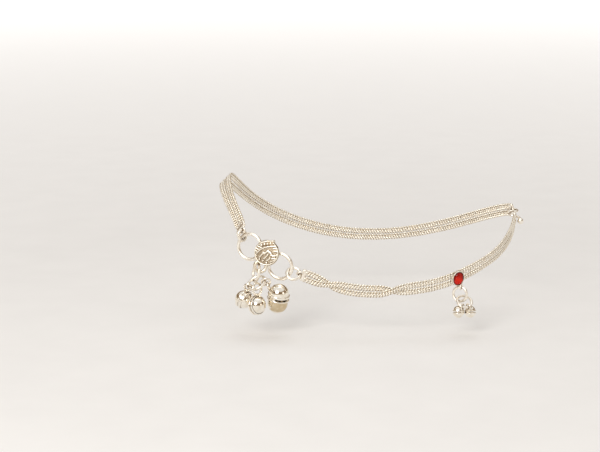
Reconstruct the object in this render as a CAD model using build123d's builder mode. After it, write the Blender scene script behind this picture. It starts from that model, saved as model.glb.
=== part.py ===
from build123d import *
import os
from math import cos, pi, radians, sin, tan

# Payal anklet, worn: a loop of fine silver chain bands with a round motif, three bells,
# a red stone station with two small bells, and a hooked clasp at the back.
# +X points to the heel, -Y to the side that shows, +Z up. The origin is the middle of
# the opening where the ankle goes. All lengths are in millimetres.

os.makedirs("parts", exist_ok=True)

# ---------------------------------------------------------------- driving dimensions
loop_half_length = 49         # from the middle of the opening to the toe and heel ends
loop_half_width = 33          # from the middle of the opening to the near and far sides
strand_diameter = 0.88
strand_pitch = 1.04
crossing_depth = 0.76         # how far one pair of strands rises over the other
arc_share = 0.45              # share of a run that the arc at its end may use

big_ring_wire = 1.15
big_ring_radius = 4.15        # to the middle of the wire
link_wire = 0.95
front_link_radius = 1.75
near_link_radius = 2.15

end_bar_length = 1.1
end_bar_thickness = 0.95
end_gap = 0.1                 # between the strands and the soldered bar
eye_radius = 1.0
eye_wire = 0.7

motif_radius = 4.15
motif_thickness = 1.1
motif_edge_round = 0.3
motif_rim_inset = 0.15
motif_rim_width = 0.7
motif_rim_rise = 0.35
motif_boss_radius = 2.2
motif_boss_rise = 0.6
crest_thickness = 0.9
crest_beads = 6
crest_bead_radius = 0.34
crest_bead_pitch = 0.8
crest_bead_start = -1.75      # from the disc's middle, to the left end of the bead row
crest_bead_line = 2.85        # height of the bead row over the disc's middle
motif_loop_radius = 1.8
motif_loop_wire = 1.1
eyelet_radius = 1.25
eyelet_wire = 0.6

drop_wire = 0.9
drop_upper_radius = 3.15
drop_lower_radius = 2.95
drop_side_radius = 1.35
drop_side_wire = 0.65

bell_wall = 0.45
bell_rim_wire = 0.62
bell_mouth = 0.5              # gap between the two rims
mouth_flat = 0.06             # how much the mouth's saw cut takes off the rims, both together
mouth_share = 0.35            # how far the saw cut's middle lies off the bell's, in diameters
mouth_length = 1.2            # length of the saw cut, in diameters
bell_loop_wire = 0.75

station_upper_radius = 2.35
station_lower_radius = 2.4
station_wire = 0.85
small_bell_diameter = 3.9
small_bell_height = 1.97        # of each half, from the middle of the mouth
small_bell_wall = 0.55
small_bell_rim_wire = 0.4
small_bell_mouth = 0.3
small_bell_loop_radius = 0.95
small_bell_loop_wire = 0.5

setting_width = 4.1
setting_height = 5.0
setting_depth = 1.3
setting_wall = 0.3
setting_floor = 0.35
setting_loop_radius = 0.95
setting_loop_wire = 0.5
setting_gap = 0.12            # between the setting's back and the strands
setting_shift = 0.55          # from the station's row, along the band towards the toes
stone_gap = 0.05
stone_girdle = 0.05           # how far the girdle lies under the rim of the setting
stone_rise = 0.55             # how far the crown stands over the rim of the setting
stone_table = 0.55            # the table's size as a share of the girdle's

clasp_wire = 0.9
clasp_ring_radius = 1.45
clasp_ball_diameter = 2.1

along = Vector(1, 0, 0)       # from the toes to the heel

# ---------------------------------------------------------------- band centrelines
# x, y, z: middle of the band; lean: how far the band's outward face looks up, degrees;
# spread: distance between strands, in pitches; cross: how far the outer pair of strands
# has passed over the inner pair, degrees (0 side by side, 180 swapped).
front_rows = [
    # x, y, z, lean, spread, cross
    (-43.0, -23.95, 13.45, 12, 1.00, 0),
    (-44.3, -20.6, 16.0, 16, 1.00, 0),
    (-46.1, -16.4, 18.9, 24, 1.04, 0),
    (-47.8, -10.8, 21.8, 34, 1.12, 0),
    (-48.8, -4.8, 24.1, 43, 1.28, 0),
    (-48.7, 2.0, 24.8, 45, 1.32, 0),
    (-47.4, 9.0, 22.8, 36, 1.15, 0),
    (-44.7, 15.8, 18.6, 26, 1.05, 0),
    (-40.4, 21.6, 13.6, 18, 1.00, 0),
    (-33.9, 26.2, 8.4, 10, 1.00, 0),
    (-25.2, 29.4, 3.8, 4, 1.00, 0),
    (-14.8, 31.2, 0.4, 0, 1.00, 0),
    (-3.4, 31.9, -1.3, 0, 1.00, 0),
    (8.2, 31.5, -1.2, 0, 1.00, 0),
    (19.0, 29.6, 0.6, 0, 1.00, 0),
    (28.4, 26.2, 3.4, 0, 1.00, 0),
    (36.4, 21.2, 6.8, 0, 1.00, 0),
    (42.8, 14.6, 10.2, 0, 1.00, 0),
    (46.8, 9.0, 12.3, 0, 1.00, 0),
    (48.4, 5.4, 13.1, 0, 1.00, 0),
]
near_rows = [
    # x, y, z, lean, spread, cross
    (-21.9, -32.8, -1.1, 8, 1.00, 0),
    (-19.6, -32.9, -1.9, 6, 1.00, 6),
    (-17.2, -33.0, -2.9, 4, 1.00, 34),
    (-14.6, -33.1, -3.8, 2, 1.00, 90),
    (-11.8, -33.1, -4.6, 0, 1.00, 150),
    (-8.8, -33.2, -5.3, 0, 1.00, 180),
    (-4.2, -33.2, -6.0, 0, 1.00, 180),
    (0.0, -33.1, -6.2, 0, 1.00, 180),
    (3.0, -33.0, -6.2, 0, 1.00, 210),
    (5.9, -32.8, -6.1, 0, 1.00, 270),
    (8.9, -32.5, -5.9, 0, 1.00, 330),
    (12.4, -32.1, -5.5, 0, 1.00, 360),
    (17.6, -31.4, -4.9, 0, 1.00, 360),
    (22.6, -30.5, -3.9, 0, 1.00, 360),
    (27.7, -29.3, -2.2, 0, 1.00, 360),
    (32.2, -27.4, -0.4, 0, 0.96, 360),
    (36.6, -25.0, 1.5, 0, 0.90, 360),
    (40.6, -21.8, 3.5, 0, 0.96, 360),
    (44.2, -17.5, 6.1, 0, 1.00, 360),
    (46.7, -12.4, 8.7, 0, 1.00, 360),
    (47.9, -8.6, 10.8, 0, 1.00, 360),
    (48.4, -6.4, 12.0, 0, 1.00, 360),
]
station_row = 14              # the row of near_rows that carries the stone


def row_middle(row):
    return Vector(*row[0:3])


def row_direction(rows, index):
    """Direction of the band at a row: from the row before to the row after."""
    before = row_middle(rows[max(index - 1, 0)])
    after = row_middle(rows[min(index + 1, len(rows) - 1)])
    return (after - before).normalized()


def row_axes(rows, index):
    """The band's width and face directions at a row."""
    x, y, _, lean, _, _ = rows[index]
    direction = row_direction(rows, index)
    level = Vector(x / loop_half_length**2, y / loop_half_width**2, 0).normalized()
    face = level * cos(radians(lean)) + Vector(0, 0, 1) * sin(radians(lean))
    face = (face - direction * face.dot(direction)).normalized()
    return direction.cross(face).normalized(), face


def strand_points(rows, strand):
    """Route of one strand (0 to 3), beside and over the other three."""
    pair = -1 if strand < 2 else 1
    member = -1 if strand % 2 == 0 else 1
    points = []
    for index, row in enumerate(rows):
        width, face = row_axes(rows, index)
        pitch = strand_pitch * row[4]
        turn = radians(row[5])
        sideways = pair * pitch * cos(turn) + member * pitch / 2
        outwards = pair * crossing_depth * sin(turn)
        points.append(row_middle(row) + width * sideways + face * outwards)
    return points


def corner_radii(points):
    """As large an arc at each corner as its two runs allow."""
    radii = []
    for before, corner, after in zip(points, points[1:], points[2:]):
        run_in = corner - before
        run_out = after - corner
        half_turn = radians(run_in.get_angle(run_out)) / 2
        radii.append(arc_share * min(run_in.length, run_out.length) / tan(half_turn))
    return radii


def make_strand(rows, strand, label):
    points = strand_points(rows, strand)
    radii = corner_radii(points)
    with BuildPart() as chain:
        with BuildLine() as route:
            FilletPolyline(*points, radius=radii)
        centreline = route.wire()
        with BuildSketch(Plane(origin=centreline @ 0, z_dir=centreline % 0)):
            Circle(strand_diameter / 2)
        sweep(path=centreline)
    chain.part.label = label
    export_step(chain.part, f"parts/{label}.step")
    section = pi * strand_diameter**2 / 4
    print(
        f"{label}: length {centreline.length:.1f}, smallest radius {min(radii):.1f},",
        f"volume / (section x length) {chain.part.volume / (section * centreline.length):.4f}",
    )
    print("  radii", " ".join(f"{radius:.1f}" for radius in radii))


for strand in range(4):
    make_strand(front_rows, strand, f"front_strand_{strand + 1}")
    make_strand(near_rows, strand, f"near_strand_{strand + 1}")


# ---------------------------------------------------------------- rings
def facing(origin, normal, across=along):
    """Plane through origin whose local Z is normal, and local X as near to across as it can be."""
    z_dir = Vector(normal).normalized()
    x_dir = Vector(across)
    x_dir = (x_dir - z_dir * x_dir.dot(z_dir)).normalized()
    return Plane(origin=Vector(*origin), x_dir=x_dir, z_dir=z_dir)


def on_ring(plane, radius, degrees):
    """Point of a ring's wire at an angle from the plane's X direction."""
    return plane.from_local_coords((radius * cos(radians(degrees)), radius * sin(radians(degrees)), 0))


def wire_direction(plane, degrees):
    """Direction of a ring's wire at an angle from the plane's X direction."""
    return plane.x_dir * -sin(radians(degrees)) + plane.y_dir * cos(radians(degrees))


def make_ring(plane, radius, wire, label):
    with BuildPart(plane) as ring:
        Torus(radius, wire / 2)
    ring.part.label = label
    export_step(ring.part, f"parts/{label}.step")


front_ring_plane = facing((-39.9, -26.8, 7.2), (-0.44, -0.89, 0.09))
rear_ring_plane = facing((-30.0, -31.0, 1.65), (-0.41, -0.91, 0.01))
front_link_plane = facing((-42.4, -25.7, 10.7), (0.75, -0.63, 0.17))
near_link_plane = facing((-25.7, -32.8, -0.35), (0.04, -0.73, 0.68))
drop_upper_plane = facing((-37.82, -29.4, -0.76), (0.94, 0.27, -0.2))
drop_lower_plane = facing((-37.64, -31.99, -3.62), (-0.38, -0.44, 0.81))
drop_side_plane = facing((-34.58, -32.91, -3.08), (-0.06, -0.92, -0.39))
station_upper_plane = facing((28.33, -31.07, -7.6), (-0.49, -0.86, 0.15))
station_lower_plane = facing((29.72, -32.18, -9.82), (0.17, -0.57, 0.8))

make_ring(front_ring_plane, big_ring_radius, big_ring_wire, "front_ring")
make_ring(rear_ring_plane, big_ring_radius, big_ring_wire, "rear_ring")
make_ring(front_link_plane, front_link_radius, link_wire, "front_link")
make_ring(near_link_plane, near_link_radius, link_wire, "near_link")
make_ring(drop_upper_plane, drop_upper_radius, drop_wire, "drop_ring_upper")
make_ring(drop_lower_plane, drop_lower_radius, drop_wire, "drop_ring_lower")
make_ring(drop_side_plane, drop_side_radius, drop_side_wire, "drop_ring_side")
make_ring(station_upper_plane, station_upper_radius, station_wire, "station_ring_upper")
make_ring(station_lower_plane, station_lower_radius, station_wire, "station_ring_lower")


# ---------------------------------------------------------------- soldered band ends
def make_band_end(rows, index, away, eye_plane, eye_degrees, ring_radius, label):
    """Bar across the ends of the four strands, with an eye that a ring's wire passes through."""
    outwards = row_direction(rows, index) * away
    width, face = row_axes(rows, index)
    bar_middle = row_middle(rows[index]) + outwards * (end_gap + end_bar_length / 2)
    bar_width = 3 * strand_pitch + strand_diameter
    eye_middle = on_ring(eye_plane, ring_radius, eye_degrees)
    with BuildPart() as end:
        with Locations(Plane(origin=bar_middle, x_dir=width, z_dir=face)):
            Box(bar_width, end_bar_length, end_bar_thickness)
        with Locations(facing(eye_middle, wire_direction(eye_plane, eye_degrees))):
            Torus(eye_radius, eye_wire / 2)
    end.part.label = label
    export_step(end.part, f"parts/{label}.step")
    print(f"{label}: solids {len(end.solids())}, eye {(eye_middle - bar_middle).length:.2f} from the bar")


clasp_ring_plane = facing((48.95, 2.2, 13.4), (0.05, -0.1, 1))
clasp_eye = Vector(48.8, -4.8, 12.9)
clasp_eye_plane = facing(clasp_eye + Vector(0, clasp_ring_radius, 0), (0.05, -0.1, 1))
front_last = len(front_rows) - 1
near_last = len(near_rows) - 1
make_band_end(front_rows, 0, -1, front_link_plane, 90, front_link_radius, "front_band_end")
make_band_end(near_rows, 0, -1, near_link_plane, 0, near_link_radius, "near_band_end")
make_band_end(front_rows, front_last, 1, clasp_ring_plane, 90, clasp_ring_radius, "far_band_back_end")
make_band_end(near_rows, near_last, 1, clasp_eye_plane, -90, clasp_ring_radius, "near_band_back_end")

# ---------------------------------------------------------------- clasp at the back
clasp_route = [
    # from the clasp's ring, round behind and out through the eye, to the ball
    (48.95, 0.75, 13.25),
    (47.4, -0.9, 13.2),
    (46.9, -4.7, 12.95),
    (50.4, -4.85, 12.85),
    (50.6, -5.3, 11.2),
]
clasp_bends = [0.7, 1.2, 0.9]
with BuildPart() as clasp:
    with BuildLine() as hook_line:
        FilletPolyline(*clasp_route, radius=clasp_bends)
    hook_wire = hook_line.wire()
    with BuildSketch(Plane(origin=hook_wire @ 0, z_dir=hook_wire % 0)):
        Circle(clasp_wire / 2)
    sweep(path=hook_wire)
    with Locations(Vector(*clasp_route[-1])):
        Sphere(clasp_ball_diameter / 2)
    with Locations(clasp_ring_plane):
        Torus(clasp_ring_radius, clasp_wire / 2)
clasp.part.label = "clasp"
export_step(clasp.part, "parts/clasp.step")

# ---------------------------------------------------------------- motif
motif_plane = facing((-34.3, -30.95, 6.1), (-0.3, -0.93, 0.2))
motif_loop_plane = facing((-36.45, -30.85, 1.6), (0.06, -0.99, 0.13))
crest_outline = [
    # x, y: a low crown over the disc, squarer at its right end
    (-2.3, 2.2),
    (-2.1, 3.35),
    (-0.5, 3.95),
    (2.7, 4.1),
    (2.8, 2.3),
]
front_eyelet = facing(on_ring(front_ring_plane, big_ring_radius, 0), wire_direction(front_ring_plane, 0))
rear_eyelet = facing(on_ring(rear_ring_plane, big_ring_radius, 137), wire_direction(rear_ring_plane, 137))
with BuildPart() as motif:
    with Locations(motif_plane):
        Cylinder(motif_radius, motif_thickness)
    fillet(motif.edges().sort_by(SortBy.LENGTH)[-1], motif_edge_round)
    with BuildSketch(motif_plane.offset(motif_thickness / 2)):
        Circle(motif_radius - motif_rim_inset)
        Circle(motif_radius - motif_rim_width, mode=Mode.SUBTRACT)
        Circle(motif_boss_radius)
    extrude(amount=motif_rim_rise)
    with BuildSketch(motif_plane.offset(motif_thickness / 2)):
        with BuildLine():
            Polyline(*crest_outline, close=True)
        make_face()
    extrude(amount=crest_thickness)
    for bead in range(crest_beads):
        bead_x = crest_bead_start + crest_bead_pitch * bead
        bead_middle = (bead_x, crest_bead_line, motif_thickness / 2 + crest_thickness)
        with Locations(motif_plane.from_local_coords(bead_middle)):
            Sphere(crest_bead_radius)
    with Locations(motif_loop_plane):
        Torus(motif_loop_radius, motif_loop_wire / 2)
    with Locations(front_eyelet, rear_eyelet):
        Torus(eyelet_radius, eyelet_wire / 2)
motif.part.label = "motif"
export_step(motif.part, "parts/motif.step")
print(f"motif: solids {len(motif.solids())}")


# ---------------------------------------------------------------- bells
def capsule_outline(radius, upper_barrel, lower_barrel):
    """Right half of a bell's outline: two domes, each on a short barrel over or under the mouth."""
    with BuildSketch() as outline:
        with BuildLine():
            CenterArc((0, upper_barrel), radius, 0, 90)
            Line((radius, upper_barrel), (radius, -lower_barrel))
            CenterArc((0, -lower_barrel), radius, 270, 90)
            Line((0, upper_barrel + radius), (0, -lower_barrel - radius))
        make_face()
    return outline.sketch_local


def make_bell(plane, diameter, heights, wall, rim_wire, mouth, loop_plane, loop_radius, loop_wire, label):
    """Hollow round bell: two domes on local Z, two rolled rims with the mouth between them,
    and a wire loop soldered on. The mouth is closed on the loop's side, local +X."""
    rim_seat = (mouth + rim_wire) / 2
    radius = (diameter - rim_wire) / 2
    upper_barrel, lower_barrel = (height - radius for height in heights)
    profile_plane = Plane(origin=plane.origin, x_dir=plane.x_dir, z_dir=-plane.y_dir)
    dome_axis = Axis(plane.origin, plane.z_dir)
    with BuildPart() as bell:
        with BuildSketch(profile_plane):
            add(capsule_outline(radius, upper_barrel, lower_barrel))
            with Locations((radius, rim_seat), (radius, -rim_seat)):
                Circle(rim_wire / 2)
        revolve(axis=dome_axis)
        with Locations(loop_plane):
            Torus(loop_radius, loop_wire / 2)
        with BuildSketch(profile_plane):
            add(capsule_outline(radius - wall, upper_barrel, lower_barrel))
        revolve(axis=dome_axis, mode=Mode.SUBTRACT)
        mouth_middle = plane.from_local_coords((-mouth_share * diameter, 0, 0))
        with Locations(Plane(origin=mouth_middle, x_dir=plane.x_dir, z_dir=plane.z_dir)):
            Box(diameter, mouth_length * diameter, mouth + mouth_flat, mode=Mode.SUBTRACT)
    bell.part.label = label
    export_step(bell.part, f"parts/{label}.step")
    print(f"{label}: solids {len(bell.solids())}, volume {bell.part.volume:.1f}")


bell_rows = [
    # name, middle of the mouth, dome axis, towards the loop, diameter,
    # heights of the upper and lower halves, loop middle, loop normal, loop radius
    ("left", (-41.79, -31.13, -9.31), (-0.75, 0.42, 0.5), (1.42, -0.95, 4.21), 6.4,
     (2.92, 2.92), (-40.37, -32.08, -5.1), (0.1, 0.94, 0.33), 1.2),
    ("middle", (-37.47, -35.39, -10.2), (0.68, -0.7, 0.2), (0, 0.1, 1), 6.3,
     (2.95, 2.87), (-37.46, -34.83, -5.01), (0.73, -0.67, 0.16), 1.9),
    ("right", (-30.59, -32.84, -8.1), (0.15, -0.17, 0.977), (-1, 0, 0), 7.3,
     (4.39, 5.49), (-33.79, -32.48, -4.62), (0.95, -0.04, 0.31), 1.3),
]
for name, middle, axis, towards, diameter, heights, loop_middle, loop_normal, loop_radius in bell_rows:
    make_bell(
        facing(middle, axis, Vector(*towards)), diameter, heights, bell_wall, bell_rim_wire, bell_mouth,
        facing(loop_middle, loop_normal), loop_radius, bell_loop_wire, f"bell_{name}",
    )

small_bell_axis = (0, 0.18, 1)
small_bell_rows = [
    # name, middle of the mouth, towards the loop, loop middle, loop normal
    ("left", (27.74, -33.06, -13.01), (1, 0, 0), (28.91, -34.13, -11.12), (0.88, -0.47, -0.07)),
    ("right", (31.68, -32.16, -13.21), (-1, 0, 0), (30.81, -33.66, -11.2), (0.83, 0.55, 0.08)),
]
for name, middle, towards, loop_middle, loop_normal in small_bell_rows:
    make_bell(
        facing(middle, small_bell_axis, Vector(*towards)), small_bell_diameter,
        (small_bell_height, small_bell_height), small_bell_wall, small_bell_rim_wire, small_bell_mouth,
        facing(loop_middle, loop_normal), small_bell_loop_radius, small_bell_loop_wire,
        f"station_bell_{name}",
    )

# ---------------------------------------------------------------- red stone and its setting
_, station_face = row_axes(near_rows, station_row)
station_middle = row_middle(near_rows[station_row]) - row_direction(near_rows, station_row) * setting_shift
setting_seat = station_middle + station_face * (strand_diameter / 2 + setting_gap)
setting_lean = Vector(0.29, 0, 0.957)      # the oval's long way, its top leaning to the heel
setting_plane = facing(setting_seat, station_face, setting_lean.cross(station_face))
setting_loop_plane = facing((28.65, -30.84, -5.15), (0.95, -0.32, -0.06))
with BuildPart() as stone_setting:
    with BuildSketch(setting_plane):
        Ellipse(setting_width / 2, setting_height / 2)
    extrude(amount=setting_depth)
    with Locations(setting_loop_plane):
        Torus(setting_loop_radius, setting_loop_wire / 2)
    with BuildSketch(setting_plane.offset(setting_floor)):
        Ellipse(setting_width / 2 - setting_wall, setting_height / 2 - setting_wall)
    extrude(amount=setting_depth, mode=Mode.SUBTRACT)
stone_setting.part.label = "stone_setting"
export_step(stone_setting.part, "parts/stone_setting.step")

stone_width = setting_width / 2 - setting_wall - stone_gap
stone_height = setting_height / 2 - setting_wall - stone_gap
girdle_level = setting_depth - stone_girdle
with BuildPart() as stone:
    with BuildSketch(setting_plane.offset(setting_floor + stone_gap)):
        Ellipse(stone_width, stone_height)
    extrude(amount=girdle_level - setting_floor - stone_gap)
    with BuildSketch(setting_plane.offset(girdle_level)):
        Ellipse(stone_width, stone_height)
    with BuildSketch(setting_plane.offset(setting_depth + stone_rise)):
        Ellipse(stone_width * stone_table, stone_height * stone_table)
    loft()
stone.part.label = "stone"
export_step(stone.part, "parts/stone.step")
print(f"stone_setting: solids {len(stone_setting.solids())}, stone: solids {len(stone.solids())}")
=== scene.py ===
import math
import random

import bmesh
import bpy
from mathutils import Matrix, Vector


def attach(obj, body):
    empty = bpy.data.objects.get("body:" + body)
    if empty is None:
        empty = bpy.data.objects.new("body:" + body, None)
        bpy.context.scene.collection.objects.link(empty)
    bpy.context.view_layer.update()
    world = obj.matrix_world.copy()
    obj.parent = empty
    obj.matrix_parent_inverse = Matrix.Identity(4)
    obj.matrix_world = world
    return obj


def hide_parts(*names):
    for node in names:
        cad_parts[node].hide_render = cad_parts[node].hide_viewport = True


# Payal anklet: silver curb-chain bands in worn form, rings, a round motif, bells, a red stone
# and a hooked clasp. Places are in metres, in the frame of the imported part. The sizes of rings,
# solder, clasp, motif, bells, stone and setting are in millimetres.

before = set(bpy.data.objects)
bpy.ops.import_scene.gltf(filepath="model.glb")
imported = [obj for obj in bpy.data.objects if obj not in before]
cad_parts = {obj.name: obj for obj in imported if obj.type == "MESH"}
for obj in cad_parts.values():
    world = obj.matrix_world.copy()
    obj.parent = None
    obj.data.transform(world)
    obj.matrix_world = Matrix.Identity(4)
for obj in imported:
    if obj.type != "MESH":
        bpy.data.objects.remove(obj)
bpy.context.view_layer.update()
dice = random.Random(11)

MM = 0.001
FULL_TURN = 2 * math.pi
UP = Vector((0, 0, 1))

# -------- band routes
# Each row: x, y, z of the band's middle; how far the band's outward face looks up, in degrees;
# the distance between strands, in pitches; and how far one pair of strands has passed over the
# other, in degrees.
LOOP_HALF_LENGTH = 0.049
LOOP_HALF_WIDTH = 0.033
STRAND_PITCH = 0.00104
PAIR_REACH = 1.05             # pitches from the band's middle to a pair's
MEMBER_REACH = 0.455          # pitches from a pair's middle to a strand's
CROSSING_DEPTH = 0.00076
front_rows = [
    (-0.04300, -0.02395, 0.01345, 12, 1.00, 0),
    (-0.04430, -0.02060, 0.01600, 16, 1.00, 0),
    (-0.04610, -0.01640, 0.01890, 24, 1.04, 0),
    (-0.04780, -0.01080, 0.02180, 34, 1.12, 0),
    (-0.04880, -0.00480, 0.02410, 43, 1.28, 0),
    (-0.04870, 0.00200, 0.02480, 45, 1.32, 0),
    (-0.04740, 0.00900, 0.02280, 36, 1.15, 0),
    (-0.04470, 0.01580, 0.01860, 26, 1.05, 0),
    (-0.04040, 0.02160, 0.01360, 18, 1.00, 0),
    (-0.03390, 0.02620, 0.00840, 10, 1.00, 0),
    (-0.02520, 0.02940, 0.00380, 4, 1.00, 0),
    (-0.01480, 0.03120, 0.00040, 0, 1.00, 0),
    (-0.00340, 0.03190, -0.00130, 0, 1.00, 0),
    (0.00820, 0.03150, -0.00120, 0, 1.00, 0),
    (0.01900, 0.02960, 0.00060, 0, 1.00, 0),
    (0.02840, 0.02620, 0.00340, 0, 1.00, 0),
    (0.03640, 0.02120, 0.00680, 0, 1.00, 0),
    (0.04280, 0.01460, 0.01020, 0, 1.00, 0),
    (0.04680, 0.00900, 0.01230, 0, 1.00, 0),
    (0.04840, 0.00540, 0.01310, 0, 1.00, 0),
]
near_rows = [
    (-0.02190, -0.03280, -0.00110, 8, 1.00, 0),
    (-0.01960, -0.03290, -0.00190, 6, 1.00, 6),
    (-0.01720, -0.03300, -0.00290, 4, 1.00, 34),
    (-0.01460, -0.03310, -0.00380, 2, 1.00, 90),
    (-0.01180, -0.03310, -0.00460, 0, 1.00, 150),
    (-0.00880, -0.03320, -0.00530, 0, 1.00, 180),
    (-0.00420, -0.03320, -0.00600, 0, 1.00, 180),
    (0.00000, -0.03310, -0.00620, 0, 1.00, 180),
    (0.00300, -0.03300, -0.00620, 0, 1.00, 210),
    (0.00590, -0.03280, -0.00610, 0, 1.00, 270),
    (0.00890, -0.03250, -0.00590, 0, 1.00, 330),
    (0.01240, -0.03210, -0.00550, 0, 1.00, 360),
    (0.01760, -0.03140, -0.00490, 0, 1.00, 360),
    (0.02260, -0.03050, -0.00390, 0, 1.00, 360),
    (0.02770, -0.02930, -0.00220, 0, 1.00, 360),
    (0.03220, -0.02740, -0.00040, 0, 0.96, 360),
    (0.03660, -0.02500, 0.00150, 0, 0.90, 360),
    (0.04060, -0.02180, 0.00350, 0, 0.96, 360),
    (0.04420, -0.01750, 0.00610, 0, 1.00, 360),
    (0.04670, -0.01240, 0.00870, 0, 1.00, 360),
    (0.04790, -0.00860, 0.01080, 0, 1.00, 360),
    (0.04840, -0.00640, 0.01200, 0, 1.00, 360),
]


def row_middle(row):
    return Vector(row[0:3])


def row_axes(rows, index):
    """The band's direction, width and face at a row."""
    x, y, _, lean, _, _ = rows[index]
    before = row_middle(rows[max(index - 1, 0)])
    after = row_middle(rows[min(index + 1, len(rows) - 1)])
    direction = (after - before).normalized()
    level = Vector((x / LOOP_HALF_LENGTH**2, y / LOOP_HALF_WIDTH**2, 0)).normalized()
    face = level * math.cos(math.radians(lean)) + UP * math.sin(math.radians(lean))
    face = (face - direction * face.dot(direction)).normalized()
    return direction, direction.cross(face).normalized(), face


def strand_points(rows, strand):
    """Route of one strand (0 to 3), and the way it faces at each point."""
    pair = -1 if strand < 2 else 1
    member = -1 if strand % 2 == 0 else 1
    points, faces = [], []
    for index, row in enumerate(rows):
        _, width, face = row_axes(rows, index)
        pitch = STRAND_PITCH * row[4]
        turn = math.radians(row[5])
        sideways = pair * pitch * PAIR_REACH * math.cos(turn)
        sideways += member * pitch * MEMBER_REACH
        outwards = pair * CROSSING_DEPTH * math.sin(turn)
        points.append(row_middle(row) + width * sideways + face * outwards)
        faces.append(face)
    return points, faces


# -------- shapes
def on_circle(radius, turn):
    return Vector((radius * math.cos(turn), radius * math.sin(turn), 0))


class Shape:
    """Points and faces put together before they become a mesh."""

    def __init__(self):
        self.points = []
        self.faces = []

    def add(self, points, faces, place=None):
        first = len(self.points)
        self.points += [place @ point for point in points] if place else list(points)
        self.faces += [[first + corner for corner in face] for face in faces]
        return self


def facing(origin, normal, across=(1, 0, 0)):
    """Matrix with local Z along normal and local X as near to across as it can be."""
    z = Vector(normal).normalized()
    x = Vector(across)
    x = (x - z * x.dot(z)).normalized()
    place = Matrix((x, z.cross(x), z)).transposed().to_4x4()
    place.translation = Vector(origin)
    return place


def grid_faces(rows, columns, closed=False):
    """Quads over a grid of points stored row by row. Each row is a closed loop, and closed
    says that the last row meets the first."""
    faces = []
    for i in range(rows if closed else rows - 1):
        for k in range(columns):
            j, m = (i + 1) % rows, (k + 1) % columns
            faces.append([i * columns + k, i * columns + m, j * columns + m, j * columns + k])
    return faces


def tube(centres, radii, sides, closed, up):
    """Round tube along centres. No part of it runs along up."""
    points = []
    count = len(centres)
    for i, centre in enumerate(centres):
        before = centres[i - 1] if closed or i > 0 else centre
        after = centres[(i + 1) % count] if closed or i < count - 1 else centre
        ahead = (after - before).normalized()
        side = ahead.cross(up).normalized()
        top = side.cross(ahead)
        for k in range(sides):
            turn = FULL_TURN * k / sides
            points.append(centre + (side * math.cos(turn) + top * math.sin(turn)) * radii[i])
    faces = grid_faces(count, sides, closed)
    if not closed:
        faces.append(list(range(sides)))
        faces.append([(count - 1) * sides + k for k in range(sides)])
    return points, faces


def lathe(outline, steps):
    """Solid turned about Z from (radius, height) points, the first and last on the axis."""
    points = [Vector((0, 0, outline[0][1])), Vector((0, 0, outline[-1][1]))]
    body = outline[1:-1]
    for radius, height in body:
        for k in range(steps):
            turn = FULL_TURN * k / steps
            points.append(Vector((radius * math.cos(turn), radius * math.sin(turn), height)))
    faces = [[2 + corner for corner in face] for face in grid_faces(len(body), steps)]
    last = 2 + (len(body) - 1) * steps
    for k in range(steps):
        m = (k + 1) % steps
        faces.append([0, 2 + k, 2 + m])
        faces.append([1, last + m, last + k])
    return points, faces


def arc_points(middle, radius, start, stop, steps):
    """(radius, height) points of an arc in a lathe outline, angles in degrees."""
    points = []
    for k in range(steps + 1):
        turn = math.radians(start + (stop - start) * k / steps)
        points.append((middle[0] + radius * math.cos(turn), middle[1] + radius * math.sin(turn)))
    return points


def ball(middle, radius, steps):
    """Round bead."""
    outline = arc_points((0, 0), radius, 90, -90, steps // 2)
    outline[0], outline[-1] = (0, radius), (0, -radius)
    points, faces = lathe(outline, steps)
    return [Vector(middle) + point for point in points], faces


RING_STEPS = 112
RING_SIDES = 20
RING_UNEVENNESS = 0.012       # share of the wire
SEAM_WIDTH = 2.2              # degrees
SEAM_DEPTH = 0.16             # share of the wire
SEAM_REACH = 5                # degrees
SEAM_STEPS = (-SEAM_REACH, -3, -2, -1, -0.5, 0, 0.5, 1, 2, 3, SEAM_REACH)


def wire_ring(radius, wire, seam):
    """Round wire bent to a ring in local XY, its soldered seam a fine groove."""
    plain = 360 - 2 * SEAM_REACH
    turns = [seam + SEAM_REACH + plain * k / RING_STEPS for k in range(1, RING_STEPS)]
    turns += [seam + 360 + step for step in SEAM_STEPS]
    phase = dice.uniform(0, 360)
    centres, radii = [], []
    for turn in turns:
        angle = math.radians(turn)
        wave = RING_UNEVENNESS * math.sin(3 * angle + phase)
        wave += RING_UNEVENNESS / 2 * math.sin(7 * angle - phase)
        groove = SEAM_DEPTH * math.exp(-(((turn - seam - 360) / (SEAM_WIDTH / 2)) ** 2))
        reach = radius * (1 + wave / 3)
        centres.append(on_circle(reach, angle))
        radii.append(wire / 2 * (1 + wave - groove))
    return tube(centres, radii, RING_SIDES, True, UP)


def make_piece(name, shape, material, nodes, sharp=None):
    """Mesh object that rides on the part and stands for its CAD nodes."""
    mesh = bpy.data.meshes.new(name)
    mesh.from_pydata(shape.points, [], shape.faces)
    work = bmesh.new()
    work.from_mesh(mesh)
    bmesh.ops.recalc_face_normals(work, faces=work.faces)
    work.to_mesh(mesh)
    work.free()
    mesh.polygons.foreach_set("use_smooth", [True] * len(mesh.polygons))
    if sharp:
        mesh.set_sharp_from_angle(angle=math.radians(sharp))
    mesh.materials.append(material)
    piece = bpy.data.objects.new(name, mesh)
    bpy.context.scene.collection.objects.link(piece)
    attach(piece, "root")
    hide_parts(*nodes)
    return piece


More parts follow.
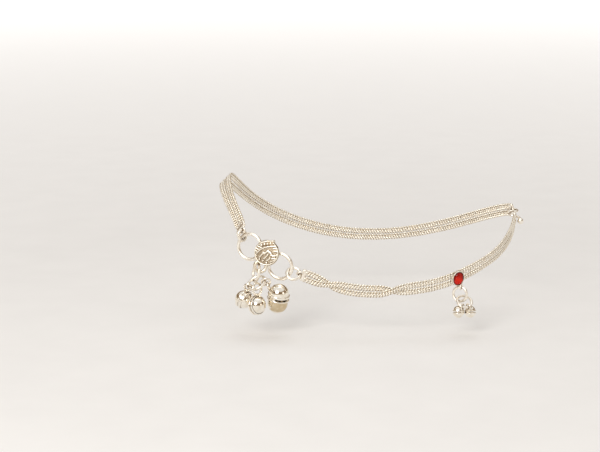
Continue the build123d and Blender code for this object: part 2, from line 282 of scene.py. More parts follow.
# -------- materials
# Noises: scale and detail.
CLOUDS = (620, 4)
BLOTCHES = (480, 4)
POLISH = (900, 5)
MARKS = (2600, 3)
NOISE_ROUGHNESS = 0.55
CLOUD_EDGES = (0.36, 0.60)    # where the shade ends and where the light colour starts
BLOTCH_STRENGTH = 0.35
REFLECTION_EDGES = (0.05, 0.85)   # crest values where the painted dark reflection is full and where it ends
MARK_DEPTH = 0.03 * MM
# The crest value carries painted shade and tarnish on the chain and the motif, a painted dark
# reflection on the big bell, and painted light and shade on the stone.
CREST = "crest"               # mesh attribute: 0 down in a piece's hollows, 1 on its raised places
WHITE = (1, 1, 1)


def add_node(tree, kind, **inputs):
    node = tree.nodes.new(kind)
    for name, value in inputs.items():
        node.inputs[name.replace("_", " ")].default_value = value
    return node


def new_material(name):
    material = bpy.data.materials.new(name)
    material.use_nodes = True
    tree = material.node_tree
    shader = tree.nodes["Principled BSDF"]
    place = tree.nodes.new("ShaderNodeTexCoord")
    return material, tree, shader, place.outputs["Object"]


def noise(tree, place, scale, detail):
    node = add_node(tree, "ShaderNodeTexNoise", Scale=scale, Detail=detail,
                    Roughness=NOISE_ROUGHNESS)
    tree.links.new(place, node.inputs["Vector"])
    return node.outputs["Fac"]


def ramp(tree, value, stops):
    """Colour ramp with (position, colour) stops."""
    node = tree.nodes.new("ShaderNodeValToRGB")
    elements = node.color_ramp.elements
    for _ in range(len(stops) - len(elements)):
        elements.new(0.5)
    for element, (position, colour) in zip(elements, stops):
        element.position = position
        element.color = (*colour, 1)
    tree.links.new(value, node.inputs["Fac"])
    return node.outputs["Color"]


def multiply(tree, first, second):
    node = tree.nodes.new("ShaderNodeMix")
    node.data_type = "RGBA"
    node.blend_type = "MULTIPLY"
    node.inputs["Factor"].default_value = 1.0
    tree.links.new(first, node.inputs["A"])
    tree.links.new(second, node.inputs["B"])
    return node.outputs["Result"]


def spread(tree, value, low, high):
    """Stretches a noise's middle values to low and high."""
    node = tree.nodes.new("ShaderNodeMapRange")
    node.inputs["From Min"].default_value = 0.3
    node.inputs["From Max"].default_value = 0.7
    node.inputs["To Min"].default_value = low
    node.inputs["To Max"].default_value = high
    tree.links.new(value, node.inputs["Value"])
    return node.outputs["Result"]


def crest_value(tree):
    """The mesh's own crest value, 0 to 1."""
    node = tree.nodes.new("ShaderNodeAttribute")
    node.attribute_name = CREST
    return node.outputs["Fac"]


def silver(name, light, shade, roughness, cavity, cavity_depth, cavity_stops, bump,
           painted_reflection=None):
    """Worn silver: its light colour clouded at random with the shade colour, with painted shade and
    tarnish down in the gaps, uneven polish and fine handling marks. Without a cavity depth, the
    gaps are where the mesh's own crest value is low. A painted dark reflection colours the places
    where that value is low."""
    material, tree, shader, place = new_material(name)
    clouds = ramp(tree, noise(tree, place, *CLOUDS), list(zip(CLOUD_EDGES, (shade, light))))
    if cavity_depth:
        gaps = tree.nodes.new("ShaderNodeAmbientOcclusion")
        gaps.samples = 8
        gaps.inputs["Distance"].default_value = cavity_depth
        openness = gaps.outputs["AO"]
    else:
        openness = crest_value(tree)
    low, high = cavity_stops
    # painted shade and tarnish: the gaps take the cavity colour, half open places a paler mix of
    # it, open places stay white
    half_shade_and_tarnish = [(1 + 2 * part) / 3 for part in cavity]
    shade_and_tarnish = ramp(tree, openness, [(low, cavity), ((low + high) / 2, half_shade_and_tarnish), (high, WHITE)])
    colour = multiply(tree, clouds, shade_and_tarnish)
    # painted dark reflection: low crest values take this darker colour, its edge broken up by noise
    if painted_reflection:
        blotched = tree.nodes.new("ShaderNodeMath")
        tree.links.new(crest_value(tree), blotched.inputs[0])
        blotches = spread(tree, noise(tree, place, *BLOTCHES), -BLOTCH_STRENGTH, BLOTCH_STRENGTH)
        tree.links.new(blotches, blotched.inputs[1])
        stops = list(zip(REFLECTION_EDGES, (painted_reflection, WHITE)))
        colour = multiply(tree, colour, ramp(tree, blotched.outputs["Value"], stops))
    tree.links.new(colour, shader.inputs["Base Color"])
    polish = spread(tree, noise(tree, place, *POLISH), *roughness)
    tree.links.new(polish, shader.inputs["Roughness"])
    marks = tree.nodes.new("ShaderNodeBump")
    marks.inputs["Strength"].default_value = bump
    marks.inputs["Distance"].default_value = MARK_DEPTH
    tree.links.new(noise(tree, place, *MARKS), marks.inputs["Height"])
    tree.links.new(marks.outputs["Normal"], shader.inputs["Normal"])
    shader.inputs["Metallic"].default_value = 1.0
    return material


def set_crest(piece, values):
    piece.data.attributes.new(CREST, "FLOAT", "POINT").data.foreach_set("value", values)


# Each cavity colour is painted shade together with tarnish, down in the gaps.
chain_silver = silver(
    "chain_silver", light=(1.0, 0.965, 0.88), shade=(0.96, 0.90, 0.79), roughness=(0.28, 0.36),
    cavity=(0.52, 0.43, 0.31), cavity_depth=None, cavity_stops=(0.02, 0.48), bump=0.15)
wire_silver = silver(
    "wire_silver", light=(1.0, 0.965, 0.89), shade=(0.92, 0.85, 0.75), roughness=(0.28, 0.34),
    cavity=(0.40, 0.30, 0.19), cavity_depth=0.7 * MM, cavity_stops=(0.25, 0.75), bump=0.08)
motif_silver = silver(
    "motif_silver", light=(1.0, 0.96, 0.86), shade=(0.91, 0.84, 0.71), roughness=(0.28, 0.36),
    cavity=(0.28, 0.18, 0.08), cavity_depth=None, cavity_stops=(0.0, 0.80), bump=0.30)
# The bells' second colour is a painted dark reflection on the big bell's belly.
bell_silver = silver(
    "bell_silver", light=(1.0, 0.96, 0.88), shade=(0.90, 0.83, 0.71), roughness=(0.04, 0.10),
    cavity=(0.31, 0.22, 0.14), cavity_depth=0.8 * MM, cavity_stops=(0.20, 0.70), bump=0.05,
    painted_reflection=(0.70, 0.61, 0.46))


def make_stone_glass():
    material, tree, shader, place = new_material("red_glass")
    flecks = ramp(tree, noise(tree, place, 900, 3), [
        (0.35, (0.74, 0.012, 0.003)),
        (0.65, (1.0, 0.045, 0.012)),
    ])
    # painted light and shade: dark at low crest values towards the girdle and the back, light at
    # high ones on the crown
    depth = ramp(tree, crest_value(tree), [
        (0.0, (0.18, 0.10, 0.10)),
        (0.6, (0.80, 0.75, 0.75)),
        (1.0, WHITE),
    ])
    tree.links.new(multiply(tree, flecks, depth), shader.inputs["Base Color"])
    polish = spread(tree, noise(tree, place, 1500, 2), 0.02, 0.07)
    tree.links.new(polish, shader.inputs["Roughness"])
    shader.inputs["Transmission Weight"].default_value = 0.15
    shader.inputs["IOR"].default_value = 1.45
    shader.inputs["Specular IOR Level"].default_value = 0.22
    return material


red_glass = make_stone_glass()

# -------- chain strands
LINK_PITCH = 0.93 * MM
LINK_HALF_LENGTH = 0.56 * MM      # all of a link's wire is measured to its middle
LINK_HALF_WIDTH = 0.28 * MM
LINK_LIFT = 0.20 * MM
LINK_WIRE = 0.43 * MM
LINK_FLAT = 0.36 * MM             # the chain is rolled flat at this height on both faces
LINK_STEPS = 22
LINK_SIDES = 8
SPLINE_STEPS = 24
LINK_TURN = 34                    # degrees, each link lies across the chain's run
LINK_JITTER = 6.0                 # degrees


def read_spline(points):
    """Points of the smooth curve that has these control points."""
    curve = bpy.data.curves.new("route", "CURVE")
    curve.dimensions = "3D"
    spline = curve.splines.new("NURBS")
    spline.points.add(len(points) - 1)
    for control, point in zip(spline.points, points):
        control.co = (*point, 1)
    spline.order_u = 3
    spline.use_endpoint_u = True
    spline.resolution_u = SPLINE_STEPS
    holder = bpy.data.objects.new("route", curve)
    mesh = bpy.data.meshes.new_from_object(holder)
    line = [vertex.co.copy() for vertex in mesh.vertices]
    bpy.data.objects.remove(holder)
    bpy.data.curves.remove(curve)
    bpy.data.meshes.remove(mesh)
    return line


def link_template(twist):
    """One curb link: an oval of wire, bent so that each link lies through the next. The last
    list says how far each point stands out of the chain's middle, 0 to 1."""
    centres = []
    for k in range(LINK_STEPS):
        turn = FULL_TURN * k / LINK_STEPS
        centres.append(Vector((
            LINK_HALF_LENGTH * math.cos(turn),
            LINK_HALF_WIDTH * math.sin(turn),
            twist * LINK_LIFT * math.sin(2 * turn),
        )))
    points, faces = tube(centres, [LINK_WIRE / 2] * LINK_STEPS, LINK_SIDES, True, UP)
    crest = [min(1.0, abs(point.z) / LINK_FLAT) for point in points]
    for point in points:
        point.z = max(-LINK_FLAT, min(LINK_FLAT, point.z))
    return points, faces, crest


def walk(line, distances):
    """Where these distances along a line lie: the segment's index and the share of it."""
    found, index, passed = [], 0, 0.0
    run = (line[1] - line[0]).length
    for distance in distances:
        while distance > passed + run and index < len(line) - 2:
            passed += run
            index += 1
            run = (line[index + 1] - line[index]).length
        found.append((index, (distance - passed) / run))
    return found


def at(line, place):
    """The line's point at a place that walk found."""
    index, share = place
    return line[index].lerp(line[index + 1], share)


def make_strand(rows, strand, node):
    """Links one after another along a strand's route. Every second strand twists the other way."""
    points, faces = strand_points(rows, strand)
    line = read_spline(points)
    guide = read_spline([point + face * MM for point, face in zip(points, faces)])
    length = sum((b - a).length for a, b in zip(line, line[1:]))
    count = round(length / LINK_PITCH)
    pitch = length / count
    *template, crest = link_template(1 if strand % 2 == 0 else -1)
    places = walk(line, [pitch * k / 2 for k in range(2 * count + 1)])
    shape = Shape()
    for k in range(count):
        start, middle, stop = places[2 * k], places[2 * k + 1], places[2 * k + 2]
        ahead = (at(line, stop) - at(line, start)).normalized()
        face = at(guide, middle) - at(line, middle)
        face = (face - ahead * face.dot(ahead)).normalized()
        jitter = math.radians(dice.uniform(-LINK_JITTER, LINK_JITTER))
        face.rotate(Matrix.Rotation(jitter, 3, ahead))
        ahead.rotate(Matrix.Rotation(math.radians(LINK_TURN), 3, face))
        place = Matrix((ahead, face.cross(ahead), face)).transposed().to_4x4()
        place.translation = at(line, middle)
        shape.add(*template, place)
    piece = make_piece(f"{node}_links", shape, chain_silver, [node])
    # painted shade and tarnish: each link's wire is darker where it lies low between its flat
    # faces, among its neighbours
    set_crest(piece, crest * count)


for strand in range(4):
    make_strand(front_rows, strand, f"front_strand_{strand + 1}")
    make_strand(near_rows, strand, f"near_strand_{strand + 1}")

# -------- rings
front_ring_plane = facing((-0.0399, -0.0268, 0.0072), (-0.44, -0.89, 0.09))
rear_ring_plane = facing((-0.0300, -0.0310, 0.00165), (-0.41, -0.91, 0.01))
front_link_plane = facing((-0.0424, -0.0257, 0.0107), (0.75, -0.63, 0.17))
near_link_plane = facing((-0.0257, -0.0328, -0.00035), (0.04, -0.73, 0.68))
clasp_ring_plane = facing((0.04895, 0.0022, 0.0134), (0.05, -0.1, 1))

BIG_RING_RADIUS = 4.15
FRONT_LINK_RADIUS = 1.75
NEAR_LINK_RADIUS = 2.15
BEAD_STEPS = 40
upper_drop_plane = facing((-0.03782, -0.0294, -0.00076), (0.94, 0.27, -0.2))
lower_drop_plane = facing((-0.03764, -0.03199, -0.00362), (-0.38, -0.44, 0.81))
side_drop_plane = facing((-0.03458, -0.03291, -0.00308), (-0.06, -0.92, -0.39))
upper_station_plane = facing((0.02833, -0.03107, -0.0076), (-0.49, -0.86, 0.15))
lower_station_plane = facing((0.02972, -0.03218, -0.00982), (0.17, -0.57, 0.8))
rings = [
    # node, plane, radius and wire in mm, seam in degrees from the plane's X, and the radius in
    # mm of the bead of solder that closes it
    ("front_ring", front_ring_plane, BIG_RING_RADIUS, 1.15, 150, 0),
    ("rear_ring", rear_ring_plane, BIG_RING_RADIUS, 1.15, 40, 0),
    ("front_link", front_link_plane, FRONT_LINK_RADIUS, 0.95, 158, 0.8),
    ("near_link", near_link_plane, NEAR_LINK_RADIUS, 0.95, 100, 0),
    ("drop_ring_upper", upper_drop_plane, 3.15, 0.9, 20, 0),
    ("drop_ring_lower", lower_drop_plane, 2.95, 0.9, 60, 0),
    ("drop_ring_side", side_drop_plane, 1.35, 0.65, 250, 0),
    ("station_ring_upper", upper_station_plane, 2.35, 0.85, 20, 0),
    ("station_ring_lower", lower_station_plane, 2.4, 0.85, 80, 0),
]
for node, plane, radius, wire, seam, bead in rings:
    shape = Shape().add(*wire_ring(radius * MM, wire * MM, seam), plane)
    if bead:
        joint = on_circle(radius, math.radians(seam)) * MM
        shape.add(*ball(joint, bead * MM, BEAD_STEPS), plane)
    make_piece(f"{node}_wire", shape, wire_silver, [node])


def on_ring(plane, degrees, radius):
    """Point of a ring whose radius is in millimetres, and the way its wire runs there."""
    turn = math.radians(degrees)
    point = plane @ (on_circle(1, turn) * radius * MM)
    return point, plane.to_3x3() @ Vector((-math.sin(turn), math.cos(turn), 0))


# -------- soldered band ends
# These are blended in millimetres, where the voxels are not too small, then scaled.
VOXEL = 0.075
BLEND_PASSES = 8
CAPSULE_SIDES = 20
CAPSULE_STEPS = (-88, -60, -30, 0)      # degrees round each rounded end


def capsule(start, stop, radius):
    """Rod with rounded ends."""
    ahead = (stop - start).normalized()
    up = UP if abs(ahead.z) < 0.8 else Vector((1, 0, 0))
    steps = [math.radians(angle) for angle in CAPSULE_STEPS]
    centres = [start + ahead * radius * math.sin(step) for step in steps]
    centres += [stop - ahead * radius * math.sin(step) for step in reversed(steps)]
    radii = [radius * math.cos(step) for step in steps]
    return tube(centres, radii + radii[::-1], CAPSULE_SIDES, False, up)


def melted(shape):
    """The shape's solids run together as solder does, in metres."""
    mesh = bpy.data.meshes.new("blend")
    mesh.from_pydata(shape.points, [], shape.faces)
    holder = bpy.data.objects.new("blend", mesh)
    bpy.context.scene.collection.objects.link(holder)
    remesh = holder.modifiers.new("remesh", "REMESH")
    remesh.mode = "VOXEL"
    remesh.voxel_size = VOXEL
    soften = holder.modifiers.new("soften", "SMOOTH")
    soften.iterations = BLEND_PASSES
    soften.factor = 0.5
    bpy.context.view_layer.update()
    evaluated = holder.evaluated_get(bpy.context.evaluated_depsgraph_get())
    result = bpy.data.meshes.new_from_object(evaluated)
    blended = Shape().add(
        [vertex.co * MM for vertex in result.vertices],
        [list(face.vertices) for face in result.polygons],
    )
    bpy.data.objects.remove(holder)
    bpy.data.meshes.remove(mesh)
    bpy.data.meshes.remove(result)
    return blended


END_GAP = 0.1
END_BAR_LENGTH = 1.1
BAR_SHIFT = 0.22              # the bar is two rods, each this far from its middle
BAR_RADIUS = 0.5
STUB_RADIUS = 0.4
STUB_LENGTH = 0.55
EYE_RADIUS = 1.0
EYE_WIRE = 0.7
EYE_STEPS = 40
EYE_SIDES = 16
MIDDLE_STRAND = 1.5           # the band's middle, counted in strands


def make_band_end(node, rows, index, away, eye_plane, eye_degrees, ring_radius):
    """Solder bar that gathers the four strands, with the eye for a ring's wire."""
    direction, width, _ = row_axes(rows, index)
    outwards = direction * away
    end = row_middle(rows[index]) / MM
    middle = end + outwards * (END_GAP + END_BAR_LENGTH / 2)
    pitch = STRAND_PITCH / MM
    shape = Shape()
    side = width * MIDDLE_STRAND * pitch
    for shift in (-BAR_SHIFT, BAR_SHIFT):
        start, stop = middle - side + outwards * shift, middle + side + outwards * shift
        shape.add(*capsule(start, stop, BAR_RADIUS))
    for strand in range(4):
        across = width * pitch * (strand - MIDDLE_STRAND)
        shape.add(*capsule(end + across - outwards * STUB_LENGTH, middle + across, STUB_RADIUS))
    eye, wire_way = on_ring(eye_plane, eye_degrees, ring_radius)
    ring = [on_circle(EYE_RADIUS, FULL_TURN * k / EYE_STEPS) for k in range(EYE_STEPS)]
    eye_ring = tube(ring, [EYE_WIRE / 2] * EYE_STEPS, EYE_SIDES, True, UP)
    shape.add(*eye_ring, facing(eye / MM, wire_way))
    make_piece(f"{node}_solder", melted(shape), wire_silver, [node])


CLASP_RING_RADIUS = 1.45
clasp_eye = Vector((0.0488, -0.0048, 0.0129))
clasp_eye_plane = facing(clasp_eye + Vector((0, CLASP_RING_RADIUS * MM, 0)), (0.05, -0.1, 1))
last_front, last_near = len(front_rows) - 1, len(near_rows) - 1
band_ends = [
    # node, rows, row, way the band ends along its rows, ring plane, eye's place on the ring
    # in degrees, ring radius in mm
    ("front_band_end", front_rows, 0, -1, front_link_plane, 90, FRONT_LINK_RADIUS),
    ("near_band_end", near_rows, 0, -1, near_link_plane, 0, NEAR_LINK_RADIUS),
    ("far_band_back_end", front_rows, last_front, 1, clasp_ring_plane, 90, CLASP_RING_RADIUS),
    ("near_band_back_end", near_rows, last_near, 1, clasp_eye_plane, -90, CLASP_RING_RADIUS),
]
for row in band_ends:
    make_band_end(*row)

# -------- clasp
CLASP_WIRE = 0.9
CLASP_BALL = 1.05
CLASP_SIDES = 20
CLASP_UP = Vector((0.1, 0.2, 1)).normalized()      # no part of the hook runs along this
clasp_route = [
    (0.04895, 0.00075, 0.01325),
    (0.0474, -0.0009, 0.0132),
    (0.0469, -0.0047, 0.01295),
    (0.0504, -0.00485, 0.01285),
    (0.0506, -0.0053, 0.0112),
]
hook = read_spline([Vector(point) for point in clasp_route])
shape = Shape()
shape.add(*tube(hook, [CLASP_WIRE / 2 * MM] * len(hook), CLASP_SIDES, False, CLASP_UP))
shape.add(*ball(clasp_route[-1], CLASP_BALL * MM, BEAD_STEPS))
shape.add(*wire_ring(CLASP_RING_RADIUS * MM, CLASP_WIRE * MM, 90), clasp_ring_plane)
make_piece("clasp_hook", shape, wire_silver, ["clasp"])

# -------- motif
MOTIF_RADIUS = 4.15
RIM_REACH = 3.84
RIM_HALF_WIDTH = 0.26
RIM_RISE = 0.34
MOTIF_TURNS = 440
MOTIF_RINGS = 112
FIELD_HEIGHT = 0.55
FIELD_DOME = 0.12
PLATE_RISE = 0.55
PLATE_SLOPE = 0.25
STROKE_MARGIN = 0.4            # a stroke's segment is looked at within this of its box
STAMP_ROUND = 0.25
STAMP_SHOULDER = 0.6
EDGE_START = 0.965             # share of the way out where the front's edge rounds off
EDGE_WIDTH = 0.035
EDGE_DROP = 0.22
BACK_MIDDLE = -0.35
back_rows = [
    # share of the disc's reach, and height: round its edge, then its dished back
    (1.012, 0.1), (1.012, -0.25), (0.985, -0.45), (0.9, -0.5), (0.6, -0.42), (0.3, -0.36),
]
# Painted shade and tarnish on the motif: the lower the crest value, the darker, so the field, the
# plate and the plain parts are darker than the rim, strokes and beads.
MOTIF_FIELD_CREST = 0.40       # the crest value of the sunk field
MOTIF_PLATE_CREST = 0.16       # the crest value of the plate behind the row of beads
MOTIF_PLAIN_CREST = 0.7        # the crest value of the back, the loop and the eyelets
plate_outline = [(-2.3, 2.2), (-2.1, 3.35), (-0.5, 3.95), (2.7, 4.1), (2.8, 2.3)]
plate_edges = list(zip(plate_outline, plate_outline[1:] + plate_outline[:1]))
strokes = [
    # half width, rise over the field, points (x and y in the motif's plane), all in mm
    (0.33, 0.85, [(-2.2, 2.75), (-1.5, 3.2), (-0.5, 3.58), (0.7, 3.8), (2.5, 3.85)]),
    (0.30, 0.50, [(-3.2, -0.1), (-2.7, 0.4), (-2.2, 0.85), (-1.4, 1.38), (-0.6, 1.7),
                  (0.4, 1.95), (1.5, 2.1), (3.2, 2.1)]),
    (0.24, 0.42, [(-2.9, 2.3), (-2.35, 1.98), (-1.6, 1.65)]),
    (0.24, 0.42, [(-3.5, 1.5), (-2.95, 1.25), (-2.35, 1.1)]),
    (0.22, 0.40, [(-3.8, 0.75), (-3.1, 0.5)]),
    (0.22, 0.38, [(-3.75, -0.75), (-3.1, -0.75)]),
    (0.27, 0.45, [(2.45, 1.45), (3.75, 1.3)]),
    (0.27, 0.45, [(2.5, 0.55), (3.85, 0.38)]),
    (0.34, 0.48, [(1.6, -0.75), (2.35, -1.0), (3.05, -0.95), (3.7, -0.6)]),
    (0.41, 0.60, [(-2.15, -1.2), (-1.6, -0.6), (-1.0, 0.1), (-0.5, -0.2), (0.0, 0.25),
                  (0.55, 0.62), (1.1, 0.3), (1.7, -0.2)]),
    (0.36, 0.60, [(-0.7, -1.85), (0.1, -1.15), (0.65, -0.5)]),
    (0.38, 0.60, [(0.2, -2.5), (0.8, -2.1), (1.3, -1.65)]),
    (0.36, 0.55, [(1.95, -1.85), (2.9, -1.8)]),
    (0.24, 0.34, [(1.35, -2.9), (2.15, -2.65), (2.75, -2.3)]),
]
beads = [
    # x, y, radius, rise over the field
    (-1.50, 2.48, 0.42, 0.85),
    (-0.48, 2.80, 0.42, 0.85),
    (0.58, 2.98, 0.42, 0.85),
    (1.62, 3.06, 0.42, 0.85),
    (2.55, 3.08, 0.36, 0.85),
    (-2.28, -2.02, 0.38, 0.60),
    (-1.05, -2.50, 0.38, 0.60),
    (0.10, -3.22, 0.40, 0.60),
]


def segment_distance(x, y, a, b):
    along_x, along_y = b[0] - a[0], b[1] - a[1]
    share = ((x - a[0]) * along_x + (y - a[1]) * along_y) / (along_x**2 + along_y**2)
    share = max(0.0, min(1.0, share))
    return math.hypot(x - a[0] - share * along_x, y - a[1] - share * along_y)


def in_plate(x, y):
    inside = False
    for a, b in plate_edges:
        if (a[1] > y) != (b[1] > y):
            if x < a[0] + (y - a[1]) * (b[0] - a[0]) / (b[1] - a[1]):
                inside = not inside
    return inside


def dome(distance, half_width):
    """Half-round ridge profile, 1 at its crown."""
    share = distance / half_width
    return math.sqrt(1 - share * share) if share < 1 else 0.0


def stamped(ridge, rise):
    """Height of a stamped ridge or bead over the field: steep sides and a low round top."""
    return rise - STAMP_ROUND + STAMP_ROUND * ridge if ridge > STAMP_SHOULDER else rise * ridge


def ridges(x, y):
    """Profile at a point, 0 outside, and rise of each near stroke and each bead."""
    for half_width, rise, points in strokes:
        for a, b in zip(points, points[1:]):
            within_x = min(a[0], b[0]) - STROKE_MARGIN < x < max(a[0], b[0]) + STROKE_MARGIN
            within_y = min(a[1], b[1]) - STROKE_MARGIN < y < max(a[1], b[1]) + STROKE_MARGIN
            if within_x and within_y:
                yield dome(segment_distance(x, y, a, b), half_width), rise
    for bead_x, bead_y, radius, rise in beads:
        yield dome(math.hypot(x - bead_x, y - bead_y), radius), rise


def relief(x, y):
    """Height of the motif's front over its middle plane, in mm, and its crest value."""
    reach = math.hypot(x, y)
    field = FIELD_HEIGHT - FIELD_DOME + FIELD_DOME * max(0.0, 1 - (reach / MOTIF_RADIUS) ** 2)
    height = field
    rim = dome(abs(reach - RIM_REACH), RIM_HALF_WIDTH)
    height += RIM_RISE * rim
    # painted shade and tarnish: the rim, strokes and beads take higher crest values than the field
    # and plate, so they are lighter
    crest = max(MOTIF_FIELD_CREST, rim)
    if in_plate(x, y):
        inset = min(segment_distance(x, y, a, b) for a, b in plate_edges)
        slope = min(inset / PLATE_SLOPE, 1.0)
        height = max(height, field + PLATE_RISE * math.sqrt(1 - (1 - slope) ** 2))
        crest = MOTIF_PLATE_CREST
    for ridge, rise in ridges(x, y):
        if ridge:
            height = max(height, field + stamped(ridge, rise))
            crest = max(crest, ridge)
    return height, crest


def outline_reach(turn):
    """Distance from the motif's middle to its edge."""
    way = (math.cos(turn), math.sin(turn))
    reach = MOTIF_RADIUS
    for a, b in plate_edges:
        along_x, along_y = b[0] - a[0], b[1] - a[1]
        cross = way[0] * along_y - way[1] * along_x
        if abs(cross) > 1e-9:
            distance = (a[0] * along_y - a[1] * along_x) / cross
            share = (a[0] * way[1] - a[1] * way[0]) / cross
            if 0 <= share <= 1 and distance > reach:
                reach = distance
    return reach


MOTIF_LOOP_RADIUS = 1.8
MOTIF_LOOP_WIRE = 1.1
EYELET_RADIUS = 1.25
EYELET_WIRE = 0.6
motif_plane = facing((-0.0343, -0.03095, 0.0061), (-0.3, -0.93, 0.2))
motif_loop_plane = facing((-0.03645, -0.03085, 0.0016), (0.06, -0.99, 0.13))
eyelets = [
    # the ring that passes through it, and its place on that ring in degrees
    (front_ring_plane, 0),
    (rear_ring_plane, 137),
]


def make_motif():
    """Stamped disc on a polar grid, with its bottom loop and the two eyelets on its back."""
    shape = Shape()
    points, crest = [], []
    reaches = [outline_reach(FULL_TURN * k / MOTIF_TURNS) for k in range(MOTIF_TURNS)]
    for ring in range(1, MOTIF_RINGS + 1):
        share = ring / MOTIF_RINGS
        edge = max(0.0, (share - EDGE_START) / EDGE_WIDTH)
        for k, reach in enumerate(reaches):
            turn = FULL_TURN * k / MOTIF_TURNS
            x, y = reach * share * math.cos(turn), reach * share * math.sin(turn)
            height, value = relief(x, y)
            points.append(Vector((x, y, height - EDGE_DROP * edge**2)) * MM)
            crest.append(value)
    for share, height in back_rows:
        for k, reach in enumerate(reaches):
            turn = FULL_TURN * k / MOTIF_TURNS
            x, y = reach * share * math.cos(turn), reach * share * math.sin(turn)
            points.append(Vector((x, y, height)) * MM)
    rows = MOTIF_RINGS + len(back_rows)
    faces = grid_faces(rows, MOTIF_TURNS)
    top, back = len(points), len(points) + 1
    points.append(Vector((0, 0, relief(0, 0)[0])) * MM)
    points.append(Vector((0, 0, BACK_MIDDLE)) * MM)
    last = (rows - 1) * MOTIF_TURNS
    for k in range(MOTIF_TURNS):
        m = (k + 1) % MOTIF_TURNS
        faces.append([top, k, m])
        faces.append([back, last + m, last + k])
    shape.add(points, faces, motif_plane)
    shape.add(*wire_ring(MOTIF_LOOP_RADIUS * MM, MOTIF_LOOP_WIRE * MM, 90), motif_loop_plane)
    for plane, degrees in eyelets:
        eyelet = wire_ring(EYELET_RADIUS * MM, EYELET_WIRE * MM, 0)
        shape.add(*eyelet, facing(*on_ring(plane, degrees, BIG_RING_RADIUS)))
    piece = make_piece("motif_relief", shape, motif_silver, ["motif"], sharp=70)
    crest += [MOTIF_PLAIN_CREST] * (len(piece.data.vertices) - len(crest))
    set_crest(piece, crest)


make_motif()

# -------- bells
BELL_STEPS = 96
DOME_STEPS = 20
INSIDE_STEPS = 14
RIM_STEPS = 12
BRIDGE_STEPS = 24
BRIDGE_REACH = 70             # degrees to each side of the loop where the mouth is closed
BRIDGE_OUT = 0.05
JOINT_SHARE = 0.72            # the solder bead's radius, as a share of the loop's wire
JOINT_STEPS = 20
BELLY_EDGE = (0.6, 0.84)      # depths under the mouth between which the painted dark reflection comes in
FOOT_FADE = 0.7
LOOP_SIDE = (0.5, 0.8)        # shares of the radius towards the loop where the painted dark reflection goes again


def half_bell(radius, barrel, wall, rim_height, rim_out, mouth):
    """Outline of one half of a bell in mm: dome, rolled rim and the inside, pole to pole."""
    outer = arc_points((0, barrel), radius, 90, 0, DOME_STEPS)
    outer[0] = (0, outer[0][1])
    roll = min(rim_height / 2, rim_out * 1.6)
    middle = mouth / 2 + rim_height / 2
    rim = []
    for k in range(RIM_STEPS + 1):
        turn = math.radians(90 - 180 * k / RIM_STEPS)
        reach = radius + rim_out * max(0.0, math.cos(turn)) ** 0.7
        rim.append((reach, middle + rim_height / 2 * math.sin(turn)))
    inner = arc_points((0, barrel), radius - wall, 0, 90, INSIDE_STEPS)
    inner[-1] = (0, inner[-1][1])
    foot = [(radius - wall * 0.4, mouth / 2), (radius - wall, mouth / 2 + roll * 0.5)]
    return outer + rim + foot + inner


def ease(value, low, high):
    """0 under low, 1 over high, and a smooth step between."""
    share = min(max((value - low) / (high - low), 0.0), 1.0)
    return share * share * (3 - 2 * share)


def belly_reflection(point, radius, foot):
    """Crest value of a point of a bell, in its own frame, masking the painted dark reflection: low
    on the belly under the lower rim, and back to 1 at foot millimetres under the mouth and on the
    loop's side."""
    depth, side = -point.z / MM, point.x / MM / radius
    belly = ease(depth, *BELLY_EDGE) * (1 - ease(depth, foot - FOOT_FADE, foot))
    return 1 - belly * (1 - ease(side, *LOOP_SIDE))


def make_bell(node, plane, diameter, heights, wall, rim, mouth, rims,
              loop_plane, loop_radius, loop_wire, foot):
    """Hollow bell of two domes with a mouth between their rims, closed on the loop's side.
    Its belly has a painted dark reflection down to foot millimetres under the mouth, and none where
    that is 0."""
    radius = (diameter - rim) / 2
    shape = Shape()
    for way, height, rim_height in zip((1, -1), heights, rims):
        outline = half_bell(radius, height - radius, wall, rim_height, rim / 2, mouth)
        points, faces = lathe([(r * MM, way * h * MM) for r, h in outline], BELL_STEPS)
        shape.add(points, faces, plane)
    inside, outside = radius - wall, radius + BRIDGE_OUT
    bridge = []
    for k in range(BRIDGE_STEPS + 1):
        turn = math.radians(-BRIDGE_REACH + 2 * BRIDGE_REACH * k / BRIDGE_STEPS)
        for reach, height in ((inside, -mouth), (outside, -mouth), (outside, mouth),
                              (inside, mouth)):
            corner = (reach * math.cos(turn), reach * math.sin(turn), height)
            bridge.append(Vector(corner) * MM)
    last = 4 * BRIDGE_STEPS
    faces = grid_faces(BRIDGE_STEPS + 1, 4) + [[0, 1, 2, 3], [last, last + 1, last + 2, last + 3]]
    shape.add(bridge, faces, plane)
    shape.add(*wire_ring(loop_radius * MM, loop_wire * MM, 200), loop_plane)
    # solder where the loop meets the bell
    loop_middle = loop_plane.translation
    to_middle = (plane.translation - loop_middle).normalized()
    joint = loop_middle + to_middle * loop_radius * MM
    shape.add(*ball(joint, loop_wire * JOINT_SHARE * MM, JOINT_STEPS))
    piece = make_piece(f"{node}_shell", shape, bell_silver, [node], sharp=60)
    to_bell = plane.inverted()
    crest = [belly_reflection(to_bell @ point, radius, foot) if foot else 1.0 for point in shape.points]
    set_crest(piece, crest)


